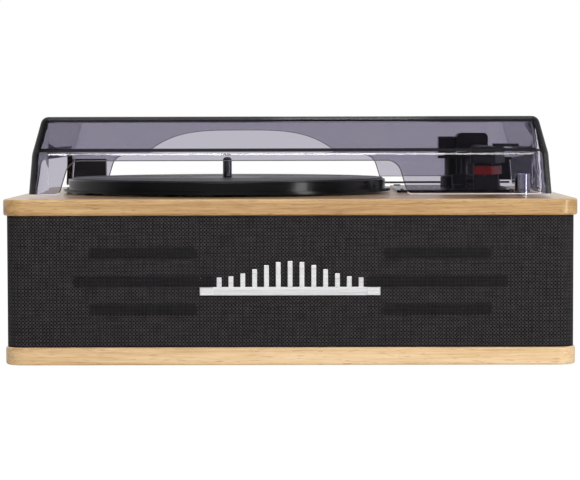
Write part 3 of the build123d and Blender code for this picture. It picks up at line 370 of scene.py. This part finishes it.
# The weave is two sets of sine waves on the slant. A yarn is high where either wave is far from nought, and a
# hole is where both are near it.
cloth = Finish("woven_grille_cloth")
mapped = cloth.node("ShaderNodeUVMap", {"uv_map": "ways"}, {})
along = cloth.part(mapped, "X")
upward = cloth.part(mapped, "Y")
yarn_pitch = 0.0026
warp = cloth.node("ShaderNodeMath", {"operation": "SINE"}, {0: (along + upward) * (np.pi / yarn_pitch)})
weft = cloth.node("ShaderNodeMath", {"operation": "SINE"}, {0: (along - upward) * (np.pi / yarn_pitch)})
over = warp * weft
yarn = cloth.larger(abs(warp), abs(weft))
yarn_tone = cloth.noise(cloth.node("ShaderNodeMapping", {}, {0: mapped, "Scale": (500.0, 60.0, 1.0)}), 1.0, 2.0)
weft_tone = cloth.noise(cloth.node("ShaderNodeMapping", {}, {0: mapped, "Scale": (60.0, 500.0, 1.0)}), 1.0, 2.0)
shade_of_yarn = yarn * 0.6 + over * 0.04 + yarn_tone * 0.13 + weft_tone * 0.13 + 0.09
cloth_colour = cloth.ramp(shade_of_yarn, [(0.44, tone(6, 6, 7)), (0.68, tone(14, 13, 14)),
                                          (0.90, tone(70, 66, 68))])

# The baffle's slots, three before each speaker, as the rise of each row and half its length. Before a slot the
# holes are wider and let more be seen through. The holes carry painted shade, a dark board tone, and over the slots
# the cloth is painted darker still.
slot_rows = ((0.0, 0.0515), (-0.0205, 0.0395), (0.0205, 0.0395))
slot_half_high = 0.00425
front_only = -0.10
cone_low, cone_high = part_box("speaker_cone_right")
speaker_x = abs(cone_low[0] + cone_high[0]) / 2
slot_middle = (cone_low[2] + cone_high[2]) / 2
here = cloth.place()
sideways = abs(abs(cloth.part(here, "X")) - speaker_x)
raised = cloth.part(here, "Z")
middle_slot, lower_slot, upper_slot = [
    (sideways < half_long) * (abs(raised - (slot_middle + rise)) < slot_half_high) for rise, half_long in slot_rows]
open_behind = (middle_slot + lower_slot + upper_slot) * (cloth.part(here, "Y") < front_only)
hole_size = open_behind * 0.15 + 0.5
hole = (abs(warp) < hole_size) * (abs(weft) < hole_size)
# Painted shade: the holes in a dark board tone, and the cloth before the slots darkened by half.
cloth_colour = cloth.blend(hole * 0.9, cloth_colour, tone(20, 18, 18))
cloth_colour = cloth.blend(open_behind * 0.5, cloth_colour, tone(13, 15, 17))
cloth.shade({"Base Color": cloth_colour, "Roughness": 0.9, "Specular IOR Level": 0.12, "Sheen Weight": 0.03,
             "Sheen Roughness": 0.4, "Alpha": 1.0 - hole * open_behind * 0.95,
             "Normal": cloth.bump(yarn + over * 0.35, 0.0004, 0.7)})
stretched_cloth = piece("speaker_cloth", sheet_mesh("speaker_cloth", grid, lengths=measure), cloth, "cabinet",
                        "grille_fabric", "grille_cloth")
wall = stretched_cloth.modifiers.new("wall", "SOLIDIFY")
wall.thickness = cloth_wall * 0.8
wall.offset = 0.0
wall.use_even_offset = True

# Badge: a bright metal bar with thicker end blocks, pinned through the cloth, and a row of plain upright rods
# that stands on it. The bar has one groove along its middle.
bright = Finish("bright_badge_metal")
drawn = bright.noise(bright.place((4.0, 600.0, 600.0)), 3.0, 3.0)
bright.shade({"Base Color": bright.ramp(drawn, [(0.3, (0.72, 0.72, 0.73, 1)), (0.7, (0.90, 0.90, 0.91, 1))]),
              "Metallic": 0.85, "Roughness": 0.22 + drawn * 0.15, "Normal": bright.bump(drawn, 0.00004, 0.3)})


def ring_mesh(name, rings, closed=False):
    """A skin over rings of points, the last joined to the first if closed. Rings that have drawn together to one
    point become a pole, and the faces are turned outwards."""
    mesh = sheet_mesh(name, rings, closed_u=closed, closed_v=True)
    skin = bmesh.new()
    skin.from_mesh(mesh)
    bmesh.ops.remove_doubles(skin, verts=skin.verts, dist=1e-6)
    bmesh.ops.recalc_face_normals(skin, faces=skin.faces)
    skin.to_mesh(mesh)
    skin.free()
    return mesh


# The bar's section goes from its rear lower edge round the front, with both front edges chamfered and the groove
# between. The end blocks stand further forward, and their outer ends draw in a little.
bar_low, bar_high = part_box("badge_bar")
bar_mid = (bar_low[2] + bar_high[2]) / 2
half = (bar_high[2] - bar_low[2]) / 2
bar_thick, chamfer = 0.0018, 0.0003
groove_in, groove_slope, groove_from, groove_to = 0.0007, 0.0003, -0.0012, 0.0006
front = bar_high[1] - bar_thick
end_front = bar_low[1]
bar_profile = np.array([(bar_high[1], -half), (front + chamfer, -half), (front, chamfer - half),
                        (front, groove_from), (front + groove_in, groove_from + groove_slope),
                        (front + groove_in, groove_to - groove_slope), (front, groove_to),
                        (front, half - chamfer), (front + chamfer, half), (bar_high[1], half)])
end_wide, end_chamfer, end_eased, end_share = 0.010, 0.0004, 0.0005, 0.93
end_profile = bar_profile.copy()
end_profile[1:9, 0] = end_front
end_profile[[1, 8], 0] = end_front + end_eased
left_stations = bar_low[0] + np.array([0.0, end_chamfer, end_wide - end_chamfer, end_wide])
stations = np.concatenate([left_stations, -left_stations[::-1]])
drawn_in = np.stack([np.clip(end_profile[:, 0], end_front + 0.0006, 1), end_profile[:, 1] * end_share], 1)
shapes = [drawn_in, end_profile, end_profile, bar_profile]
shapes += shapes[::-1]
rings = np.array([np.stack([np.full(len(shape), x), shape[:, 0], bar_mid + shape[:, 1]], 1)
                  for x, shape in zip(stations, shapes)])
first = np.repeat(rings[:1].mean(1, keepdims=True), rings.shape[1], 1)
last = np.repeat(rings[-1:].mean(1, keepdims=True), rings.shape[1], 1)
bar = piece("badge_bar_metal", ring_mesh("badge_bar_metal", np.concatenate([first, rings, last])), bright,
            "cabinet", "badge_chrome", "badge_bar")
bar.data.polygons.foreach_set("use_smooth", np.zeros(len(bar.data.polygons), bool))
eased("badge_ornament", bright, "cabinet", "badge_chrome", ease=0.0004)

# Top board: the same timber in a warmer honey tone, lacquered to a satin shine and glued onto the carcass. It
# carries the turntable, the arm and the controls.
top_wood = timber("honey_wood", tone(128, 88, 44), tone(172, 133, 82), tone(196, 160, 107), (0.2, 1.7, 4.1))
eased("top_board", top_wood, "cabinet", "top_wood")

# Turntable: a pressed platter in gloss black with a ribbed rubber mat, on a dark polished spindle that turns
# in a brass bearing let into the top board. A small motor under the board drives it by a flat belt.
gloss_black = Finish("gloss_black_paint")
flow = gloss_black.noise(gloss_black.place(), 40.0, 2.0)
gloss_black.shade({"Base Color": tone(15, 15, 16), "Roughness": 0.14 + flow * 0.08,
                   "Specular IOR Level": 0.22})
eased("platter", gloss_black, "turntable", "platter_finish")
mat_rubber = Finish("ribbed_mat_rubber")
mat_speck = mat_rubber.noise(mat_rubber.place(), 1200.0, 2.0)
mat_rubber.shade({"Base Color": mat_rubber.ramp(mat_speck, [(0.3, tone(24, 24, 25)), (0.7, tone(36, 36, 37))]),
                  "Roughness": 0.32 + mat_speck * 0.12, "Normal": mat_rubber.bump(mat_speck, 0.00004, 0.3)})

# The mat is a section turned round the spindle: a point is the middle plus its reach times cosine and sine of
# the turn, at its level. The section goes down the hole, out below, up the rim and in over the grooves.
mat_low, mat_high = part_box("platter_mat")
mat_reach = (mat_high[0] - mat_low[0]) / 2
mat_top = mat_high[2]
mat_hole, mat_chamfer = 0.0042, 0.0003
groove_pitch, groove_deep, groove_wide, innermost = 0.003, 0.0004, 0.0014, 0.03
mat_section = [(mat_hole, mat_top), (mat_hole, mat_low[2]), (mat_reach, mat_low[2]),
               (mat_reach, mat_top - mat_chamfer), (mat_reach - mat_chamfer, mat_top)]
for groove in np.arange(mat_reach - 0.004, innermost, -groove_pitch):
    mat_section += [(groove, mat_top), (groove - groove_deep, mat_top - groove_deep),
                    (groove - groove_wide + groove_deep, mat_top - groove_deep), (groove - groove_wide, mat_top)]
reach, level = np.array(mat_section).T[..., None]
sectors = 192
turn = np.arange(sectors) * (2 * np.pi / sectors)
mat_rings = np.stack([(mat_low[0] + mat_high[0]) / 2 + reach * np.cos(turn),
                      (mat_low[1] + mat_high[1]) / 2 + reach * np.sin(turn), level + 0.0 * turn], 2)
mat_mesh = ring_mesh("ribbed_mat", mat_rings, closed=True)
mat_mesh.set_sharp_from_angle(angle=0.5)
piece("ribbed_mat", mat_mesh, mat_rubber, "turntable", "mat_rubber", "platter_mat")
brass = Finish("turned_brass")
turned = brass.noise(brass.place((1.0, 1.0, 30.0)), 60.0, 2.0)
brass.shade({"Base Color": (0.62, 0.44, 0.19, 1), "Metallic": 1.0, "Roughness": 0.25 + turned * 0.2})
paint(brass, "bearing_housing")
dark_steel = Finish("dark_polished_steel")
lathe = dark_steel.noise(dark_steel.place((1.0, 1.0, 25.0)), 200.0, 2.0)
dark_steel.shade({"Base Color": (0.12, 0.12, 0.13, 1), "Metallic": 1.0, "Roughness": 0.12 + lathe * 0.12})
eased("spindle", dark_steel, "turntable", "spindle_metal")
paint(dark_steel, "hinge_rod")

# Control plate: one moulding of gloss black plastic, screwed to the board beside the platter. The arm, its rest
# and the switches stand on it.
plate_plastic = Finish("gloss_plate_plastic")
swirl = plate_plastic.noise(plate_plastic.place(), 90.0, 2.0)
plate_plastic.shade({"Base Color": tone(22, 22, 24), "Roughness": 0.16 + swirl * 0.08})
# On small parts, regions of over 30 square millimetres stay quite flat.
small_flats = 0.00003
eased("control_plate", plate_plastic, "cabinet", "plate_gloss", flat=small_flats)

# Arm: turret, bearing block, hub, tube and headshell, all moulded in satin black plastic and pressed together.
# The cartridge is a duller black, and the stylus holder that clips onto it is red.
satin_black = Finish("satin_arm_plastic")
mould = satin_black.noise(satin_black.place(), 1400.0, 2.0)
satin_black.shade({"Base Color": tone(28, 28, 30), "Roughness": 0.30 + mould * 0.12,
                   "Normal": satin_black.bump(mould, 0.00003, 0.3)})
paint(satin_black, "arm_rest_clip", "lift_platform")
for node, body in (("arm_base_collar", "cabinet"), ("arm_turret", "arm_turn"), ("arm_bearing_block", "arm_turn"),
                   ("arm_hub", "arm"), ("arm_tube", "arm"), ("counterweight", "arm"), ("headshell", "arm"),
                   ("finger_lift", "arm")):
    eased(node, satin_black, body, "arm_plastic", flat=small_flats)
matt_black = Finish("matt_cartridge_plastic")
dust = matt_black.noise(matt_black.place(), 1600.0, 2.0)
matt_black.shade({"Base Color": tone(24, 24, 25), "Roughness": 0.5 + dust * 0.2})
paint(matt_black, "cartridge")
red_plastic = Finish("red_stylus_plastic")
cast = red_plastic.noise(red_plastic.place(), 1000.0, 2.0)
red_plastic.shade({"Base Color": red_plastic.ramp(cast, [(0.3, tone(132, 16, 18)), (0.7, tone(150, 22, 22))]),
                   "Roughness": 0.3})
eased("stylus_holder", red_plastic, "arm", "stylus_red", flat=small_flats)

# Volume knob: a tall plain cylinder of polished chrome on the deck's front right corner, pressed onto the shaft
# of the control below the board.
chrome = Finish("polished_chrome")
haze = chrome.noise(chrome.place(), 300.0, 2.0)
chrome.shade({"Base Color": (0.62, 0.63, 0.67, 1), "Metallic": 1.0, "Roughness": 0.06 + haze * 0.05})
eased("volume_knob", chrome, "volume", "knob_chrome")

# Dust cover: one clear shell of smoked acrylic, moulded in a single piece, that turns on two hinge blocks. Its
# walls lean in and bend further in at the shoulder. The smoke is in the plastic, so a long way through it looks
# nearly black.
# The foot of the rear wall is cut away, so the node's box ends a little short there.
cover_low, cover_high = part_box("dust_cover")
kink_rise, rear_short = 0.0296, 0.0006
cover_kink = cover_low[2] + kink_rise
cover_middle = (cover_low[1] + cover_high[1] + rear_short) / 2
cover_reach = (cover_high[1] - cover_low[1]) / 2
lean_low, lean_high = np.tan(np.radians(5.0)), np.tan(np.radians(16.0))
acrylic = Finish("smoked_acrylic")
spot = acrylic.place()
rightward, rearward, height = [acrylic.part(spot, axis) for axis in "XYZ"]
lean = (height - cover_low[2]) * lean_low + acrylic.larger(height - cover_kink, 0.0) * (lean_high - lean_low)
side_in = cover_high[0] - lean - abs(rightward)
end_in = cover_reach - lean - abs(rearward - cover_middle)


def soft_step(value, low, high):
    """Goes from 1 below low to 0 above high, along a straight line between them."""
    return value.finish.node("ShaderNodeMapRange", {"clamp": True},
                             {"Value": value, "From Min": low, "From Max": high, "To Min": 1.0, "To Max": 0.0})


# Painted shade: where the wall is seen edge on, at the front corners, the top rim and the bend, its tint is painted
# dark, and a share of it is made a plain dark body. Near the top rim's middle, a painted streak of light lets more
# through.
right_low = (rightward > 0.0) * (height < cover_kink)
corner_from, corner_to, corner_deep, right_shift = 0.0040, 0.0056, 0.0155, 0.0024
rim_from, rim_to, rim_wide = 0.0030, 0.0040, 0.0078
bend_rise, bend_from, bend_to = 0.0025, 0.0007, 0.0013
streak_x, streak_from, streak_to = 0.042, 0.045, 0.065
corner_painted_shade = (soft_step(side_in + right_low * right_shift, corner_from, corner_to) * (end_in < corner_deep)
               * (rearward < 0.0))
rim_painted_shade = soft_step(cover_high[2] - height, rim_from, rim_to) * (
    1.0 - (side_in > rim_wide) * (end_in > rim_wide))
bend_painted_shade = soft_step(abs(height - cover_kink - bend_rise), bend_from, bend_to) * (rearward < 0.10)
rim_share = 0.75 - 0.7 * soft_step(abs(rightward - streak_x), streak_from, streak_to)
# The tint takes the painted shade of the bend, the rim and the corners.
shaded_tint = acrylic.blend(bend_painted_shade, (1, 1, 1, 1), (0.10, 0.09, 0.11, 1))
shaded_tint = acrylic.blend(rim_painted_shade, shaded_tint, (0.24, 0.22, 0.26, 1))
shaded_tint = acrylic.blend(corner_painted_shade, shaded_tint, (0.09, 0.085, 0.10, 1))
body_shader = acrylic.shade({"Base Color": shaded_tint, "Transmission Weight": 1.0, "IOR": 1.49, "Roughness": 0.0},
                            ends=False)
# A plain dark body that carries the painted shade.
painted_dark_body = acrylic.shade({"Base Color": (0.012, 0.011, 0.014, 1), "Roughness": 0.4, "Specular IOR Level": 0.1},
                     ends=False)
painted_dark_share = acrylic.larger(acrylic.larger(corner_painted_shade * 0.97, bend_painted_shade * 0.8),
                            rim_painted_shade * (rearward < front_only) * rim_share)
clear = acrylic.node("ShaderNodeBsdfTransparent", {}, {"Color": (0.94, 0.94, 0.94, 1)})
smoke = acrylic.node("ShaderNodeVolumeAbsorption", {}, {"Color": (0.271, 0.235, 0.38, 1), "Density": 225.0})
in_shadow = acrylic.node("ShaderNodeLightPath", {}, {}, "Is Shadow Ray")
wall_shader = acrylic.mix(in_shadow, acrylic.mix(painted_dark_share, body_shader, painted_dark_body), clear)
acrylic.node("ShaderNodeOutputMaterial", {}, {0: wall_shader, 1: smoke})
shell = eased("dust_cover", acrylic, "cover", "smoked_acrylic", angle=24.0)
for side in ("left", "right"):
    eased(f"hinge_block_{side}", moulded, "cover", "hinge_plastic", flat=small_flats)

# A fine round bead along the shell's sharp outer edges carries painted shade: it is painted dark, as the edges look
# where the eye runs along the wall, and painted light makes it pale at the foot, where light comes in from below.
edge_shade = Finish("painted_edge_shade")
edge_mottle = edge_shade.noise(edge_shade.place(), 700.0, 2.0)
# Painted shade: the bead's colour is dark all along it.
edge_shade_colour = edge_shade.ramp(edge_mottle, [(0.3, tone(44, 42, 48)), (0.7, tone(66, 63, 70))])
foot_high = 0.0014
# Painted light: the bead turns pale along the foot.
foot = edge_shade.part(edge_shade.place(), "Z") < cover_low[2] + foot_high
edge_shade.shade({"Base Color": edge_shade.blend(foot * 0.9, edge_shade_colour, tone(222, 218, 224)),
                   "Roughness": 0.12 + edge_mottle * 0.1, "Coat Weight": 0.6})
outer_skin, sharp_turn, bead_radius = 0.0012, 0.9, 0.00042


def wall_depth(point):
    """How far a point lies inside the shell's leaning outer walls, whichever is the nearer."""
    lean_here = (point.z - cover_low[2]) * lean_low + max(point.z - cover_kink, 0.0) * (lean_high - lean_low)
    return min(cover_high[0] - lean_here - abs(point.x),
               cover_reach - lean_here - abs(point.y - cover_middle))


shell_lines = bmesh.new()
shell_lines.from_mesh(shell.data)
inner = [e for e in shell_lines.edges
         if not (e.is_manifold and e.calc_face_angle(0.0) > sharp_turn
                 and wall_depth((e.verts[0].co + e.verts[1].co) / 2) < outer_skin)]
bmesh.ops.delete(shell_lines, geom=inner, context="EDGES")
bmesh.ops.delete(shell_lines, geom=shell_lines.faces[:], context="FACES_ONLY")
runs = []
unused = dict.fromkeys(shell_lines.edges)
while unused:
    link = next(iter(unused))
    del unused[link]
    run_points = list(link.verts)
    for grow_from_end in (True, False):
        while True:
            tip = run_points[-1] if grow_from_end else run_points[0]
            onward = [e for e in tip.link_edges if e in unused]
            if len(onward) != 1:
                break
            del unused[onward[0]]
            other = onward[0].other_vert(tip)
            run_points.insert(len(run_points) if grow_from_end else 0, other)
    runs.append([tuple(v.co) for v in run_points])
shell_lines.free()
bead = bpy.data.curves.new("bead", "CURVE")
bead.dimensions = "3D"
bead.bevel_depth = bead_radius
bead.bevel_resolution = 1
for points in runs:
    thread = bead.splines.new("POLY")
    thread.points.add(len(points) - 1)
    thread.points.foreach_set("co", np.concatenate([np.array(points), np.ones((len(points), 1))], 1).ravel())
bead_object = bpy.data.objects.new("bead", bead)
edge_mesh = bpy.data.meshes.new_from_object(bead_object)
bpy.data.objects.remove(bead_object)
edge_mesh.name = "cover_edges"
piece("cover_edges", edge_mesh, edge_shade, "cover", "smoked_acrylic")

# Stage: a pale floor that keeps the shadow, and a white surround for the camera, glass and gloss. Gloss that
# faces the front sees a dim room there instead. Soft lamps stand before, beside and over the object.
floor_reach = 12.0
floor_mesh = sheet_mesh("floor", np.stack(np.meshgrid([-floor_reach, floor_reach], [-floor_reach, floor_reach],
                                                      [0.0], indexing="ij"), 3).reshape(2, 2, 3))
floor = bpy.data.objects.new("floor", floor_mesh)
bpy.context.scene.collection.objects.link(floor)
pale = Finish("pale_floor")
seen = pale.node("ShaderNodeLightPath", {}, {}, "Is Camera Ray")
through = pale.node("ShaderNodeLightPath", {}, {}, "Is Transmission Ray")
white = pale.node("ShaderNodeEmission", {}, {"Color": (1, 1, 1, 1), "Strength": 1.04})
lit = pale.shade({"Base Color": (0.8, 0.8, 0.8, 1), "Roughness": 0.9}, ends=False)
pale.node("ShaderNodeOutputMaterial", {}, {0: pale.mix(pale.larger(seen, through) * 0.95, lit, white)})
floor_mesh.materials.append(pale.material)

sky = Finish("surround", bpy.data.worlds)
bpy.context.scene.world = sky.material
seen, through, glossed = [sky.node("ShaderNodeLightPath", {}, {}, f"Is {kind} Ray")
                          for kind in ("Camera", "Transmission", "Glossy")]
plain = sky.node("ShaderNodeBackground", {}, {"Strength": 0.5})
backdrop = sky.node("ShaderNodeBackground", {}, {"Color": (1, 1, 1, 1)})
dim = sky.node("ShaderNodeBackground", {}, {"Strength": 0.05})
room_edge = 0.14
before = soft_step(sky.part(sky.node("ShaderNodeTexCoord", {}, {}, "Generated"), "Y"), -room_edge, room_edge)
open_sky = sky.mix(sky.larger(sky.larger(seen, through), glossed), plain, backdrop)
sky.node("ShaderNodeOutputWorld", {}, {0: sky.mix(before * glossed, open_sky, dim)})


def lamp(name, place, turn, size, power):
    """A soft rectangular lamp, turned by these angles in degrees."""
    data = bpy.data.lights.new(name, "AREA")
    data.shape = "RECTANGLE"
    data.size, data.size_y = size
    data.energy = power
    made = bpy.data.objects.new(name, data)
    made.location = place
    made.rotation_euler = [np.radians(a) for a in turn]
    bpy.context.scene.collection.objects.link(made)


lamp_watts = 11
lamp("front_lamp", (0.0, -1.55, 0.625), (71, 0, 0), (1.0, 0.27), lamp_watts)
lamp("side_lamp", (1.45, -1.05, 0.5), (84, 0, 54), (0.36, 0.95), lamp_watts)
lamp("top_lamp", (-0.1, -0.2, 1.8), (0, 0, 0), (1.4, 1.0), lamp_watts)

view_from = bpy.data.cameras.new("camera")
view_from.sensor_width = 36.0
view_from.lens = 137.1
camera = bpy.data.objects.new("camera", view_from)
camera.location = (0.0097, -1.770, 0.1765)
looks_down, rolled, turned_left = 2.94, 0.13, 0.34
camera.rotation_euler = [np.radians(a) for a in (90 - looks_down, rolled, turned_left)]
bpy.context.scene.collection.objects.link(camera)
bpy.context.scene.camera = camera
bpy.context.scene.view_settings.view_transform = "Standard"
